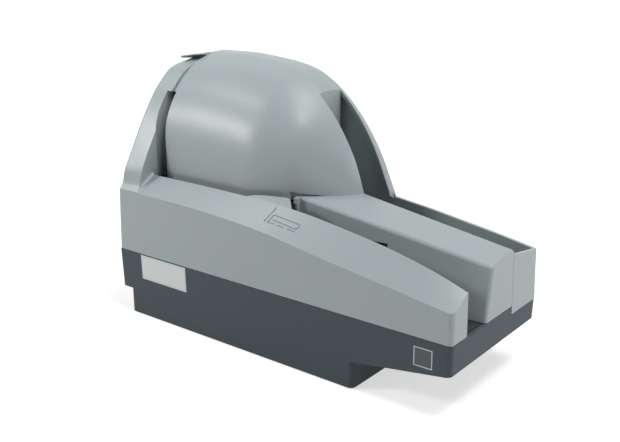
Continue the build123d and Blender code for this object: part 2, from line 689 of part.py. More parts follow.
def machine_screws():
    """All screws of the chassis, one size."""
    found = [screw_up(x, y, deck_z) for x, y in deck_bosses]
    found += [screw_up(x, y, frame_plate_z + frame_plate) for x, y in frame_posts_at]
    found += [screw_up(x, y, bridge_z + frame_plate) for x, y in bridge_screws_at]
    found += [screw_up(x, y, board_z + board_thickness) for x, y in board_posts]
    found += [screw_down(x, y, deck_low_z) for x, y in motor_holes()]
    return found + [screw_down(x, y, plate_low_z + screw_head_height) for x, y in bottom_bosses]


def main_board():
    """Circuit board in the pedestal."""
    x0, x1, y0, y1 = board
    body = block(x0, x1, y0, y1, board_z, board_z + board_thickness)
    for x, y in board_posts:
        body -= rod(x, y, screw_bore, 0, deck_z)
    return body


def board_components():
    """Processor, memory, drivers and capacitors on the board."""
    z = board_z + board_thickness
    chips = [(96, 112, 40, 56, 2.0), (120, 132, 40, 48, 1.4), (120, 132, 52, 60, 1.4), (60, 70, 38, 45, 1.8),
             (60, 70, 50, 57, 1.8), (44, 50, 30, 60, 6.0), (140, 146, 28, 70, 6.0), (80, 84, 24, 34, 4.0)]
    found = [block(x0, x1, y0, y1, z, z + h) for x0, x1, y0, y1, h in chips]
    return found + [rod(x, y, 4.0, z, z + 9.0) for x, y in ((90, 78), (102, 78), (114, 78), (160, 60))]


def usb_socket():
    """Data socket at the back of the pedestal."""
    x0, x1, y0, y1, z0, z1 = usb
    body = block(*usb) - block(x0 + 1, x1 - 1, y1 - 9, y1 + 1, z0 + 1, z1 - 1)
    return body + block(x0 + 3, x1 - 3, y1 - 10, y1 - 1, z0 + 4, z0 + 7)


def power_jack():
    """Round low-voltage inlet at the back of the pedestal."""
    x0, x1, y0, y1, z0, z1 = jack
    mid_x, mid_z = (x0 + x1) / 2, (z0 + z1) / 2
    body = block(*jack)
    body -= Pos(mid_x, y1 - 4, mid_z) * Rot(90, 0, 0) * Cylinder(3.2, 10)
    return body + Pos(mid_x, y1 - 5.5, mid_z) * Rot(90, 0, 0) * Cylinder(1.0, 8)


def deck_plate():
    """Plate that closes the base, carries the mechanism and is the track's floor."""
    plan = footprint(shell + 2 * seam_gap, shell)
    body = extrude(Plane.XY.offset(deck_low_z) * plan, amount=deck_thickness)
    body -= block(length - end_wall - seam_gap, length, end_wall_front - 2 * seam_gap, depth, 0, wide)
    for x, y in all_shafts:
        body -= rod(x, y, bush_radius, 0, wide)
    for x, y in deck_bosses + motor_holes():
        body -= rod(x, y, screw_bore, 0, wide)
    body -= rod(motor_x, motor_y, 2 * motor_shaft, 0, wide)
    body -= rod(feed_motor_x, feed_motor_y, 2 * motor_shaft, 0, wide)
    body -= rod(separator_x, separator_y, separator_pin, 0, wide)
    body -= rod(idler_x, idler_y, idler_axle + running, 0, wide)
    for x, y in pins_at:
        body -= rod(x, y, pin_radius, 0, wide)
    return body


def deck_bushes():
    """Plain bushes of the roller shafts, pressed into the deck."""
    return [tube(x, y, bush_radius, bore, deck_low_z, deck_z) for x, y in all_shafts]


# ---------------------------------------------------------------- track guides
def guide_path(d, near_x, far_x):
    """Centre line of the track moved outwards by d, from the feed throat to the exit."""
    cx, y0, y1, r = left_line + guide_bend, front_line + guide_bend, back_line - guide_bend, guide_bend + d
    turn = (throat_bend_x + run_mitre * d, throat_y - d)
    off = (bend_x + run_mitre * d, front_line - d)
    return [Line((near_x, throat_y - d), turn), Line(turn, off), Line(off, (cx, front_line - d)),
            CenterArc((cx, y0), r, 270, -90), Line((cx - r, y0), (cx - r, y1)),
            CenterArc((cx, y1), r, 180, -90), Line((cx, back_line + d), (far_x, back_line + d))]


def guide(d0, d1):
    """Sheet guide between two distances from the track's centre line."""
    near, far = throat_x, pocket_left
    ends = [Line((near, throat_y - d0), (near, throat_y - d1)), Line((far, back_line + d0), (far, back_line + d1))]
    outline = Curve() + guide_path(d0, near, far) + guide_path(d1, near, far) + ends
    return extrude(Plane.XY.offset(deck_z) * make_face(outline), amount=guide_height)


def roller_windows():
    """Round-ended cuts where rollers reach through the guides."""
    gap = 0.8
    found = []
    for z0, z1 in tyres:
        found += [rod(x, drive_y, drive_radius + gap, z0 - 1, z1 + 1) for x in (drive_x, corner_x)]
        found += [rod(x, pinch_y, pinch_radius + gap, z0 - 1, z1 + 1) for x in (drive_x, corner_x)]
        found += [rod(x, rear_y, drive_radius + gap, z0 - 1, z1 + 1) for x in (rear_x, exit_x)]
    for z0, z1 in feed_tyres:
        found += [rod(feed_x, feed_y, feed_radius + gap, z0 - 1, z1 + 1),
                  rod(separator_x, separator_y, separator_radius + gap, z0 - 1, z1 + 1)]
    sill = deck_z + 1.0
    found.append(rod(platen_x, platen_y, drive_radius + gap, sill, wide))
    found.append(rod(platen_x, platen_y, shaft_radius + gap, 0, wide))
    found.append(rod(idler_x, idler_y, idler_radius + gap, 0, wide))
    found.append(block(0, left_line, platen_y - 6.5, platen_y + 6.5, sill, wide))
    found.append(block(left_line, 2 * left_line, idler_y - 6.5, idler_y + 6.5, sill, wide))
    found.append(block(micr_x - 6, micr_x + 6, 0, 2 * front_line, micr_low_z - 1, micr_high_z + 1))
    found.append(block(micr_x - 4, micr_x + 4, front_line, 2 * front_line, 0, micr_high_z + 4))
    return found


def outer_track_guide():
    """Bent sheet along the outside of the track."""
    body = guide(guide_near, guide_far)
    for cut in roller_windows():
        body -= cut
    return body


def inner_track_guide():
    """Bent sheet along the island's side of the track."""
    body = guide(-guide_near, -guide_far)
    for cut in roller_windows():
        body -= cut
    return body


def pressure_leaves():
    """Leaf springs that press documents on the rear and exit rollers."""
    thick, reach, crown = 0.3, 12.0, 3.0
    foot = back_line + guide_near
    top = back_line + nip_gap
    found = []
    for x in (rear_x, exit_x):
        line = [(x - reach, foot), (x - reach, foot - thick), (x - crown, top), (x + crown, top),
                (x + reach, foot - thick), (x + reach, foot), (x + reach - 1.5, foot),
                (x + crown, top + thick), (x - crown, top + thick), (x - reach + 1.5, foot)]
        found += [slab_xy(line, z0, z1) for z0, z1 in tyres]
    return found


# ---------------------------------------------------------------- island frame
frame_posts_at = [(38.0, 40.0), (38.0, 86.0), (70.0, 90.0), (114.0, 76.0), (112.0, 48.0), (68.0, 33.0)]
bridge_screws_at = [(9.0, 70.0), (29.0, 52.0)]
bridge = (6.0, 36.5, 46.0, 77.5)
column = (34.0, 61.0, 2.5)
pinch_pivots = [(112.0, 8.5), (25.0, 8.5)]       # front and corner
micr_x, micr_low_z, micr_high_z = 66.0, 50.0, 62.0
micr_roller = 4.0
micr_roller_y = front_line + micr_roller
hopper_pivot, hopper_flag_tip = (206.0, 21.5), (166.0, 34.0)
exit_pivot, exit_flag_tip = (130.0, 78.5), (165.0, 95.0)
pins_at = pinch_pivots + [(micr_x, micr_roller_y), hopper_pivot, exit_pivot]


def frame_plate_sheet():
    """Upper bearing plate of the island."""
    d = -(track_gap / 2)
    run = (bend_x + run_mitre * d, front_line - d)
    turn = (throat_bend_x + run_mitre * d, throat_y - d)
    corner = guide_bend - track_gap / 2
    x1, x2 = pocket_left - shell - seam_gap, throat_bend_x
    y1 = extension_back - shell - seam_gap
    line = [(inner_left, inner_front), run, turn, (x2, turn[1]), (x2, y1), (x1, y1),
            (x1, inner_back - seam_gap), (inner_left, inner_back - seam_gap)]
    body = slab_xy(line, frame_plate_z, frame_plate_z + frame_plate)
    body = fillet(body.edges().filter_by(Axis.Z).sort_by(Axis.X)[:2], corner)
    body -= block(0, bridge[1] + 0.5, notch_front, notch_back, 0, wide)
    for x, y in all_shafts[:-1]:
        body -= rod(x, y, bore, 0, wide)
    for x, y in frame_posts_at:
        body -= rod(x, y, screw_bore, 0, wide)
    return body


def frame_posts():
    """Posts between the deck and the upper plate."""
    return [rod(x, y, boss_radius, deck_z, frame_plate_z)
            - rod(x, y, screw_bore, frame_plate_z - 8, frame_plate_z + 1) for x, y in frame_posts_at]


def scan_bridge():
    """Bridge over the track that joins the two image sensors, on its column."""
    x0, x1, y0, y1 = bridge
    body = block(x0, x1, y0, y1, bridge_z, bridge_z + frame_plate)
    body += rod(column[0], column[1], column[2], deck_z, bridge_z + 0.5)
    body -= rod(platen_x, platen_y, bore, bridge_z - 1, wide)
    body -= rod(idler_x, idler_y, idler_axle + running, bridge_z - 1, wide)
    for x, y in bridge_screws_at:
        body -= rod(x, y, screw_bore, bridge_z - 1, wide)
    return body


sensor_half = 6.0         # half width of an image sensor
glass_thickness = 1.5
sensor_sill = deck_z + 1.3


def image_sensors():
    """Housings of the two contact image sensors."""
    found = []
    for x0, x1, y, (sx, sy) in ((bridge[0], outer_glass_x - glass_thickness, platen_y, bridge_screws_at[0]),
                                (inner_glass_x + glass_thickness, inner_glass_x + 11.5, idler_y,
                                 bridge_screws_at[1])):
        body = block(x0, x1, y - sensor_half, y + sensor_half, deck_z, bridge_z)
        found.append(body - rod(sx, sy, screw_bore, bridge_z - 8, wide))
    return found


def sensor_glasses():
    """Glass faces of the two image sensors."""
    found = []
    for x0, x1, y in ((outer_glass_x - glass_thickness, outer_glass_x, platen_y),
                      (inner_glass_x, inner_glass_x + glass_thickness, idler_y)):
        found.append(block(x0, x1, y - sensor_half + 0.5, y + sensor_half - 0.5, sensor_sill, bridge_z - 0.4))
    return found


def micr_head():
    """Magnetic read head at the front run, on its foot."""
    front = front_line - guide_far - 0.4
    body = block(micr_x - 5, micr_x + 5, 7.0, front, deck_z, micr_high_z + 2)
    nose = block(micr_x - 3, micr_x + 3, front - 1, front_line - nip_gap, micr_low_z, micr_high_z)
    return body + fillet(nose.edges().filter_by(Axis.Z).sort_by(Axis.Y)[-2:], 1.5)


magnet_x, magnet_width, magnet_depth = 76.0, 6.0, 8.0


def magnetizer():
    """Magnet that charges the ink line before the head."""
    front = front_line - guide_far - 0.2
    return block(magnet_x, magnet_x + magnet_width, front - magnet_depth, front, deck_z, micr_high_z)


barrier_x, exit_barrier_x = 53.0, 85.0      # left sides of the light barriers
barrier_width, barrier_depth, barrier_height = 4.0, 5.0, 13.0


def document_sensors():
    """Light barriers across the front run and one at the exit."""
    front, high = front_line - guide_far - 0.2, deck_z + barrier_height
    x0, x1 = barrier_x, barrier_x + barrier_width
    exit_x0 = exit_barrier_x
    return [block(x0, x1, front - barrier_depth, front, deck_z, high),
            block(x0, x1, inner_front, inner_front + barrier_depth, deck_z, high),
            block(exit_x0, exit_x0 + barrier_width, inner_back - barrier_depth, inner_back, deck_z, high)]


def roller_pins():
    """Fixed steel pins of the arms, the small rollers and the flags."""
    tops = [pin_top_z, pin_top_z, micr_high_z + 3, flag_top_z + 2, flag_top_z + 2]
    found = []
    for (x, y), top in zip(pins_at, tops):
        found.append(rod(x, y, pin_radius, deck_low_z, top) + rod(x, y, pin_radius + 1, top - 1, top))
    x, y = separator_x, separator_y
    top = separator_pin_top_z
    return found + [rod(x, y, separator_pin, deck_low_z, top) + rod(x, y, separator_pin + 1, top - 1, top)]


pin_top_z = 87.4
separator_pin_top_z = 86.0
flag_top_z = 70.0


def main_motor():
    """Square motor that drives the transport belt."""
    h = motor_side / 2
    body = block(motor_x - h, motor_x + h, motor_y - h, motor_y + h, deck_z, deck_z + motor_height)
    body = chamfer(body.edges().filter_by(Axis.Z), 3.0)
    body -= rod(motor_x, motor_y, motor_shaft + running, 0, deck_z + motor_bore_height)
    for x, y in motor_holes():
        body -= rod(x, y, screw_bore, 0, deck_z + screw_length)
    return body


def feed_motor():
    """Round motor of the feeder."""
    body = rod(feed_motor_x, feed_motor_y, feed_motor_radius, deck_z, deck_z + feed_motor_height)
    body = fillet(body.edges().group_by(Axis.Z)[-1], 1.5)
    return body - rod(feed_motor_x, feed_motor_y, motor_shaft + running, 0, deck_z + motor_bore_height)


def hull(circles, z0, z1):
    """Solid inside a belt drawn tight round the circles."""
    arcs = [CenterArc((x, y), r, 0, 360) for x, y, r in circles]
    return extrude(Plane.XY.offset(z0) * make_hull(arcs), amount=z1 - z0)


def belt(circles, z):
    """Flat belt round pulleys, a little narrower than they are."""
    inside = [(x, y, r + belt_clearance) for x, y, r in circles]
    outside = [(x, y, r + belt_clearance + belt_thickness) for x, y, r in circles]
    z0, z1 = z + 0.5, z + pulley_height - 0.5
    return hull(outside, z0, z1) - hull(inside, z0 - 1, z1 + 1)


def transport_belt():
    """Long belt round the five driven rollers."""
    return belt([(x, y, pulley_radius) for x, y in belt_shafts], pulley_z)


def primary_belt():
    """Belt from the main motor to the exit roller's large pulley."""
    return belt([(motor_x, motor_y, motor_pulley_radius), (exit_x, rear_y, reduction_radius)], lower_pulley_z)


def feed_belt():
    """Belt from the feed motor to the pick and feed rollers."""
    wheels = [(x, y, feed_pulley_radius) for x, y in feed_shafts]
    return belt(wheels + [(feed_motor_x, feed_motor_y, motor_pulley_radius)], lower_pulley_z)


holder_left, holder_right, holder_front, holder_height = 78.5, 93.5, 68.0, 20.0
holder_wall = 1.5
cartridge_play = 0.3
cartridge_height = 28.0
nozzle_side = 2.0         # nozzle's side behind the cartridge's
nozzle_low, nozzle_high = 4.0, 14.0


def cartridge_holder():
    """Open cradle for the endorser's ink cartridge."""
    z0, back = frame_plate_z + frame_plate, inner_back - shell - 2 * seam_gap
    body = block(holder_left, holder_right, holder_front, back, z0, z0 + holder_height)
    return body - block(holder_left + holder_wall, holder_right - holder_wall, holder_front + holder_wall, back + 1,
                        z0 + holder_wall, z0 + holder_height + 1)


def ink_cartridge():
    """Ink cartridge with its nozzle towards the rear run."""
    side = holder_wall + cartridge_play
    z0, back = frame_plate_z + frame_plate + holder_wall, inner_back - shell - 1.0
    x0, x1 = holder_left + side, holder_right - side
    body = block(x0, x1, holder_front + side, back, z0, z0 + cartridge_height)
    body = fillet(body.edges().filter_by(Axis.Z), 1.0)
    return body + block(x0 + nozzle_side, x1 - nozzle_side, back - 1, inner_back - cartridge_play,
                        z0 + nozzle_low, z0 + nozzle_high)


feeder_face = 42.0
feeder_plate_thickness = 1.5
bracket_left, bracket_right, bracket_back = 157.0, 178.0, 69.8
bracket_drop = 3.5        # below the feeder window's top
bracket_post_radius = 2.5
bracket_posts = [(160.5, 66.0), (173.0, 67.0)]


def feeder_plate():
    """Dark plate behind the feeder window, slotted for the pick roller."""
    body = block(feeder_left + 0.5, feeder_right - 0.5, feeder_face, feeder_face + feeder_plate_thickness,
                 deck_z, feeder_top_z - 0.6)
    for z0, z1 in pick_tyres:
        body -= rod(pick_x, pick_y, pick_radius + 0.8, z0 - 1, z1 + 1)
    return body


def feed_bracket():
    """Upper bearing of the pick roller, on two posts."""
    z0 = feeder_top_z - bracket_drop
    front = feeder_face + feeder_plate_thickness
    body = block(bracket_left, bracket_right, front, bracket_back, z0, z0 + frame_plate)
    for x, y in bracket_posts:
        body += rod(x, y, bracket_post_radius, deck_z, z0 + 0.5)
    return body - rod(pick_x, pick_y, bore, z0 - 1, wide)


def label(place):
    """Thin label let into the leaning front face of the base."""
    x0, x1, z0, z1 = place
    y0, y1 = lean * (seam_z - z0), lean * (seam_z - z1)
    return slab_yz([(y0, z0), (y1, z1), (y1 + label_thick, z1), (y0 + label_thick, z0)], x0, x1)


# ---------------------------------------------------------------- rollers
def roller_shaft(x, y, top, pulley=pulley_radius, z=pulley_z):
    """Shaft with its pulley moulded on."""
    return rod(x, y, shaft_radius, shaft_low_z, top) + rod(x, y, pulley, z, z + pulley_height)


def roller_tyres(x, y, radius, levels):
    """Rubber tyres on a shaft."""
    return [tube(x, y, radius, shaft_radius, z0, z1) for z0, z1 in levels]


shaft_top_z = frame_plate_z + frame_plate + 1


def exit_shaft():
    """Exit shaft, which also carries the large pulley of the motor's belt."""
    return (roller_shaft(exit_x, rear_y, shaft_top_z)
            + rod(exit_x, rear_y, reduction_radius, lower_pulley_z, lower_pulley_z + pulley_height))


def platen_tyre():
    """Full-height rubber of the driven roller at the outer image sensor."""
    return tube(platen_x, platen_y, drive_radius, shaft_radius, 50.0, bridge_z - 1)


def motor_pulley(x, y, radius):
    """Motor shaft with its pulley."""
    return (rod(x, y, motor_shaft, shaft_low_z, deck_z + motor_bore_height - 1)
            + rod(x, y, radius, lower_pulley_z, lower_pulley_z + pulley_height))


def idler_roller():
    """Free roller opposite the inner image sensor."""
    body = rod(idler_x, idler_y, idler_axle, deck_low_z, bridge_z + frame_plate)
    body += rod(idler_x, idler_y, idler_axle + 1, deck_z + seam_gap, deck_z + 1.5)
    return body + rod(idler_x, idler_y, idler_radius, deck_z + 1.4, bridge_z - 1)


def small_roller(x, y, radius, hub_bore, levels):
    """Free roller on a pin: hub with one or two tyres."""
    low = deck_z + seam_gap
    body = tube(x, y, hub_bore + 1.0, hub_bore, low, levels[-1][1] + 1)
    for z0, z1 in levels:
        body += tube(x, y, radius, hub_bore, z0, z1)
    return body


arm_low_z, arm_high_z, arm_plate = 50.0, 84.5, 1.5
arm_hub = 3.0
arm_tip = 2.5
arm_web = 0.75            # half thickness
pinch_axle = 1.5


def pinch_arm(pivot, x):
    """Swinging fork that carries a pinch roller."""
    px, py = pivot
    run = hypot(x - px, pinch_y - py)
    ux, uy = (x - px) / run, (pinch_y - py) / run
    top = arm_high_z + arm_plate
    body = rod(px, py, arm_hub, deck_z + seam_gap, top)
    for z in (arm_low_z, arm_high_z):
        body += hull([(px, py, arm_hub), (x, pinch_y, arm_tip)], z, z + arm_plate)
    s0, s1, half = arm_hub - 0.5, run - pinch_radius - 0.8, arm_web
    web = [(px + ux * s0 - uy * half, py + uy * s0 + ux * half), (px + ux * s1 - uy * half, py + uy * s1 + ux * half),
           (px + ux * s1 + uy * half, py + uy * s1 - ux * half), (px + ux * s0 + uy * half, py + uy * s0 - ux * half)]
    body += slab_xy(web, arm_low_z, top)
    body -= rod(px, py, pin_radius + running, 0, wide)
    return body - rod(x, pinch_y, pinch_axle + running, 0, wide)


def pinch_roller(x):
    """Axle with two rubber-faced wheels."""
    body = rod(x, pinch_y, pinch_axle, arm_low_z - 0.5, arm_high_z + arm_plate + 0.5)
    body += rod(x, pinch_y, arm_tip, arm_low_z + arm_plate + 0.3, arm_high_z - 0.3)
    for z0, z1 in tyres:
        body += rod(x, pinch_y, pinch_radius, z0, z1)
    return body


def flag(pivot, tip):
    """Sprung flag on a pin, with a rounded tip."""
    px, py = pivot
    run = hypot(tip[0] - px, tip[1] - py)
    ux, uy = (tip[0] - px) / run, (tip[1] - py) / run
    half = 0.6
    line = [(px - uy * half, py + ux * half), (tip[0] - uy * half, tip[1] + ux * half),
            (tip[0] + uy * half, tip[1] - ux * half), (px + uy * half, py - ux * half)]
    body = rod(px, py, arm_hub, deck_z + seam_gap, flag_top_z)
    body += slab_xy(line, deck_z + 1.5, flag_top_z - 1)
    body += rod(tip[0], tip[1], 1.5, deck_z + 1.5, flag_top_z - 1)
    return body - rod(px, py, pin_radius + running, 0, wide)


# ---------------------------------------------------------------- pieces
def pieces():
    """Every piece under its own name."""
    return {
        "base_casing": base_casing(), "bottom_plate": bottom_plate(), "rubber_feet": rubber_feet(),
        "machine_screws": machine_screws(), "main_board": main_board(),
        "board_components": board_components(), "usb_socket": usb_socket(), "power_jack": power_jack(),
        "deck_plate": deck_plate(), "deck_bushes": deck_bushes(),
        "outer_track_guide": outer_track_guide(), "inner_track_guide": inner_track_guide(),
        "pressure_leaves": pressure_leaves(), "frame_plate": frame_plate_sheet(),
        "frame_posts": frame_posts(), "scan_bridge": scan_bridge(), "image_sensors": image_sensors(),
        "sensor_glasses": sensor_glasses(), "micr_head": micr_head(), "magnetizer": magnetizer(),
        "document_sensors": document_sensors(), "roller_pins": roller_pins(),
        "main_motor": main_motor(), "feed_motor": feed_motor(), "transport_belt": transport_belt(),
        "primary_belt": primary_belt(), "feed_belt": feed_belt(),
        "cartridge_holder": cartridge_holder(), "ink_cartridge": ink_cartridge(),
        "feeder_plate": feeder_plate(), "feed_bracket": feed_bracket(),
        "front_label": label(front_label), "mark_label": label(mark_label),
        "outer_cover": outer_cover(), "centre_cover": centre_cover(),
        "front_drive_shaft": roller_shaft(drive_x, drive_y, shaft_top_z),
        "front_drive_tyres": roller_tyres(drive_x, drive_y, drive_radius, tyres),
        "corner_drive_shaft": roller_shaft(corner_x, drive_y, shaft_top_z),
        "corner_drive_tyres": roller_tyres(corner_x, drive_y, drive_radius, tyres),
        "rear_drive_shaft": roller_shaft(rear_x, rear_y, shaft_top_z),
        "rear_drive_tyres": roller_tyres(rear_x, rear_y, drive_radius, tyres),
        "exit_drive_shaft": exit_shaft(),
        "exit_drive_tyres": roller_tyres(exit_x, rear_y, drive_radius, tyres),
        "platen_shaft": roller_shaft(platen_x, platen_y, bridge_z + frame_plate),
        "platen_tyre": platen_tyre(),
        "motor_pulley": motor_pulley(motor_x, motor_y, motor_pulley_radius),
        "feed_motor_pulley": motor_pulley(feed_motor_x, feed_motor_y, motor_pulley_radius),
        "feed_shaft": roller_shaft(feed_x, feed_y, shaft_top_z, feed_pulley_radius, lower_pulley_z),
        "feed_tyres": roller_tyres(feed_x, feed_y, feed_radius, feed_tyres),
        "pick_shaft": roller_shaft(pick_x, pick_y, feeder_top_z - 1.5, feed_pulley_radius, lower_pulley_z),
        "pick_tyres": roller_tyres(pick_x, pick_y, pick_radius, pick_tyres),
        "separator_roller": small_roller(separator_x, separator_y, separator_radius,
                                         separator_pin + running, feed_tyres),
        "micr_pressure_roller": small_roller(micr_x, micr_roller_y, micr_roller, pin_radius + running,
                                             [(micr_low_z, micr_high_z)]),
        "idler_roller": idler_roller(),
        "front_pinch_arm": pinch_arm(pinch_pivots[0], drive_x),
        "front_pinch_roller": pinch_roller(drive_x),
        "corner_pinch_arm": pinch_arm(pinch_pivots[1], corner_x),
        "corner_pinch_roller": pinch_roller(corner_x),
        "hopper_flag": flag(hopper_pivot, hopper_flag_tip),
        "exit_flag": flag(exit_pivot, exit_flag_tip),
    }


def main():
    """Write every piece in the shared frame."""
    os.makedirs("parts", exist_ok=True)
    shift = Pos(-length / 2, -depth / 2, 0)
    for name, made in pieces().items():
        solids = made if isinstance(made, list) else made.solids()
        solids = [s for item in solids for s in item.solids()]
        moved = [shift * s for s in solids]
        export_step(moved[0] if len(moved) == 1 else Compound(moved), os.path.join("parts", name + ".step"))


main()
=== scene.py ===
"""Looks of the desktop cheque scanner, laid out as an add-on and run as a script.

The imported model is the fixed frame. The operators give its nodes their finishes and build
the stage. All sizes are metres in the model's own frame, except where a name ends in _mm.
"""
import math

import bmesh
import bpy
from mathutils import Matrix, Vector


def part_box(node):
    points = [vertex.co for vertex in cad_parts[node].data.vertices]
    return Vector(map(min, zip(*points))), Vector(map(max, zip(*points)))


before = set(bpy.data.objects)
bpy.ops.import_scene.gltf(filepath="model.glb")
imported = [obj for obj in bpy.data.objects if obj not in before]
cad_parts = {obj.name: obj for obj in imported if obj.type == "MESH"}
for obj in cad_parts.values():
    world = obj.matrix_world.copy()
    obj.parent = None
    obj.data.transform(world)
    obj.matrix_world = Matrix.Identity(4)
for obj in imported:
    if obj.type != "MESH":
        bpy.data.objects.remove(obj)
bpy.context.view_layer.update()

bl_info = {
    "name": "Cheque scanner looks",
    "version": (1, 0, 0),
    "blender": (4, 5, 0),
    "location": "3D View > Sidebar > Scanner",
    "description": "Finishes and stage of a desktop cheque scanner",
    "category": "Object",
}

MM = 0.001

BLOTCH_SCALE = 22.0       # noise cells per metre in the slow drift of a moulded colour
GLOSS_DRIFT = 0.04        # how far a moulding's roughness drifts with it
LINE_DRIFT = 0.08         # how far a metal's roughness varies from line to line
LINE_DEPTH_MM = 0.02      # height of a metal's lines
WEAVE_MM = 6.0            # pitch of the board's cloth, coarser than real so that it shows
SMEAR_SCALE = 60.0        # noise cells per metre in the film on the glass

FLOOR_HALF = 6.0          # half the side of the floor
SHADOW_NEAR = 0.15        # the floor is lit by the lamps up to here from the object's middle
SHADOW_FAR = 0.9          # and shows plain white from here on
NEAR_GLOW = 0.6           # its own light in the near part, under the shadow
SENSOR_MM = 36.0
WHITE = (1, 1, 1, 1)

# name, place, point it faces, size and power in watts
LAMPS = [
    ("key_softbox", (-0.82, -0.77, 0.69), (0, 0, 0.1), (0.24, 0.18), 5.2),
    ("left_reflector", (-0.73, -0.35, 1.09), (0, 0, 0.1), (0.10, 0.22), 1.8),
    ("front_reflector", (0.53, -0.18, 1.21), (0, 0, 0.1), (0.10, 0.16), 2.2),
    ("right_reflector", (1.11, -0.45, 0.12), (0, 0, 0.1), (0.10, 0.30), 0.8),
    ("top_softbox", (0.4, 0.25, 1.35), (0.05, 0, 0.05), (0.9, 0.7), 8.8),
    ("right_softbox", (1.15, 0.5, 0.5), (0.05, 0, 0.1), (0.5, 0.4), 2.4),
]


# ---------------------------------------------------------------- colours and nodes
def linear(code):
    """sRGB hex code to a linear colour with full alpha."""
    parts = [int(code[i:i + 2], 16) / 255 for i in (1, 3, 5)]
    return [c / 12.92 if c <= 0.04045 else ((c + 0.055) / 1.055) ** 2.4 for c in parts] + [1.0]


def add(tree, kind, links=(), **settings):
    """Add a node, set its inputs or properties by name, and link its inputs."""
    node = tree.nodes.new(kind)
    for name, value in settings.items():
        if hasattr(node, name):
            setattr(node, name, value)
        else:
            node.inputs[name.replace("_", " ")].default_value = value
    for socket, source in links:
        tree.links.new(source, node.inputs[socket])
    return node


def new_material(name):
    """Empty node material with its output."""
    made = bpy.data.materials.new(name)
    made.use_nodes = True
    made.node_tree.nodes.clear()
    return made, made.node_tree, made.node_tree.nodes.new("ShaderNodeOutputMaterial")


def position(tree, scale=(1, 1, 1)):
    """Object coordinates through a Mapping node."""
    where = add(tree, "ShaderNodeTexCoord")
    return add(tree, "ShaderNodeMapping", [("Vector", where.outputs["Object"])], Scale=scale).outputs[0]


def mixed(tree, factor, first, second):
    """Colour between two colours."""
    tint = add(tree, "ShaderNodeMix", [("Factor", factor)], data_type="RGBA")
    tint.inputs[6].default_value = first
    tint.inputs[7].default_value = second
    return tint.outputs[2]


def ranged(tree, value, low, high):
    """Value from 0 to 1 spread between two numbers."""
    node = add(tree, "ShaderNodeMapRange", [("Value", value)])
    node.inputs["To Min"].default_value = low
    node.inputs["To Max"].default_value = high
    return node.outputs[0]


def moulded(name, code, roughness, grain_mm, grain, drift=0.05, specular=0.5, depth_mm=0.05):
    """Injection-moulded plastic: spark-eroded grain, a slow drift of colour and rubbed, glossier patches."""
    made, tree, out = new_material(name)
    where = position(tree)
    colour = linear(code)
    fine = add(tree, "ShaderNodeTexNoise", [("Vector", where)], Scale=1 / (grain_mm * MM), Detail=2.0)
    slow = add(tree, "ShaderNodeTexNoise", [("Vector", where)], Scale=BLOTCH_SCALE, Detail=3.0)
    dark = [c * (1 - drift) for c in colour[:3]] + [1.0]
    light = [min(1.0, c * (1 + drift)) for c in colour[:3]] + [1.0]
    bump = add(tree, "ShaderNodeBump", [("Height", fine.outputs["Fac"])],
               Strength=grain, Distance=depth_mm * MM)
    gloss = ranged(tree, slow.outputs["Fac"], roughness - GLOSS_DRIFT, roughness + GLOSS_DRIFT)
    shader = add(tree, "ShaderNodeBsdfPrincipled",
                 [("Base Color", mixed(tree, slow.outputs["Fac"], dark, light)),
                  ("Roughness", gloss), ("Normal", bump.outputs[0])])
    shader.inputs["Specular IOR Level"].default_value = specular
    tree.links.new(shader.outputs[0], out.inputs["Surface"])
    return made


def metal(name, code, roughness, line_mm=1.0, stretch=(1, 1, 1), depth=0.15):
    """Bare metal with the fine lines of rolling, turning or grinding."""
    made, tree, out = new_material(name)
    where = position(tree, stretch)
    lines = add(tree, "ShaderNodeTexNoise", [("Vector", where)], Scale=1 / (line_mm * MM), Detail=4.0)
    bump = add(tree, "ShaderNodeBump", [("Height", lines.outputs["Fac"])],
               Strength=depth, Distance=LINE_DEPTH_MM * MM)
    gloss = ranged(tree, lines.outputs["Fac"], roughness - LINE_DRIFT, roughness + LINE_DRIFT)
    shader = add(tree, "ShaderNodeBsdfPrincipled",
                 [("Roughness", gloss), ("Normal", bump.outputs[0])], Metallic=1.0)
    shader.inputs["Base Color"].default_value = linear(code)
    tree.links.new(shader.outputs[0], out.inputs["Surface"])
    return made


def laminate(name):
    """Glass-fibre board: green solder mask over a woven cloth, with the paler lines of copper tracks."""
    made, tree, out = new_material(name)
    weave = add(tree, "ShaderNodeTexBrick", [("Vector", position(tree))], Scale=1 / (WEAVE_MM * MM))
    weave.inputs["Color1"].default_value = linear("#14502D")
    weave.inputs["Color2"].default_value = linear("#185A33")
    weave.inputs["Mortar"].default_value = linear("#2E7A4C")
    weave.inputs["Mortar Size"].default_value = 0.03
    shader = add(tree, "ShaderNodeBsdfPrincipled", [("Base Color", weave.outputs["Color"])], Roughness=0.3)
    tree.links.new(shader.outputs[0], out.inputs["Surface"])
    return made


def clear_glass(name):
    """Polished float glass over a dark sensor: a sharp, faint reflection."""
    made, tree, out = new_material(name)
    smear = add(tree, "ShaderNodeTexNoise", [("Vector", position(tree))], Scale=SMEAR_SCALE, Detail=2.0)
    gloss = ranged(tree, smear.outputs["Fac"], 0.03, 0.12)
    shader = add(tree, "ShaderNodeBsdfPrincipled", [("Roughness", gloss)])
    shader.inputs["Base Color"].default_value = linear("#1E2A2C")
    shader.inputs["Transmission Weight"].default_value = 0.4
    tree.links.new(shader.outputs[0], out.inputs["Surface"])
    return made


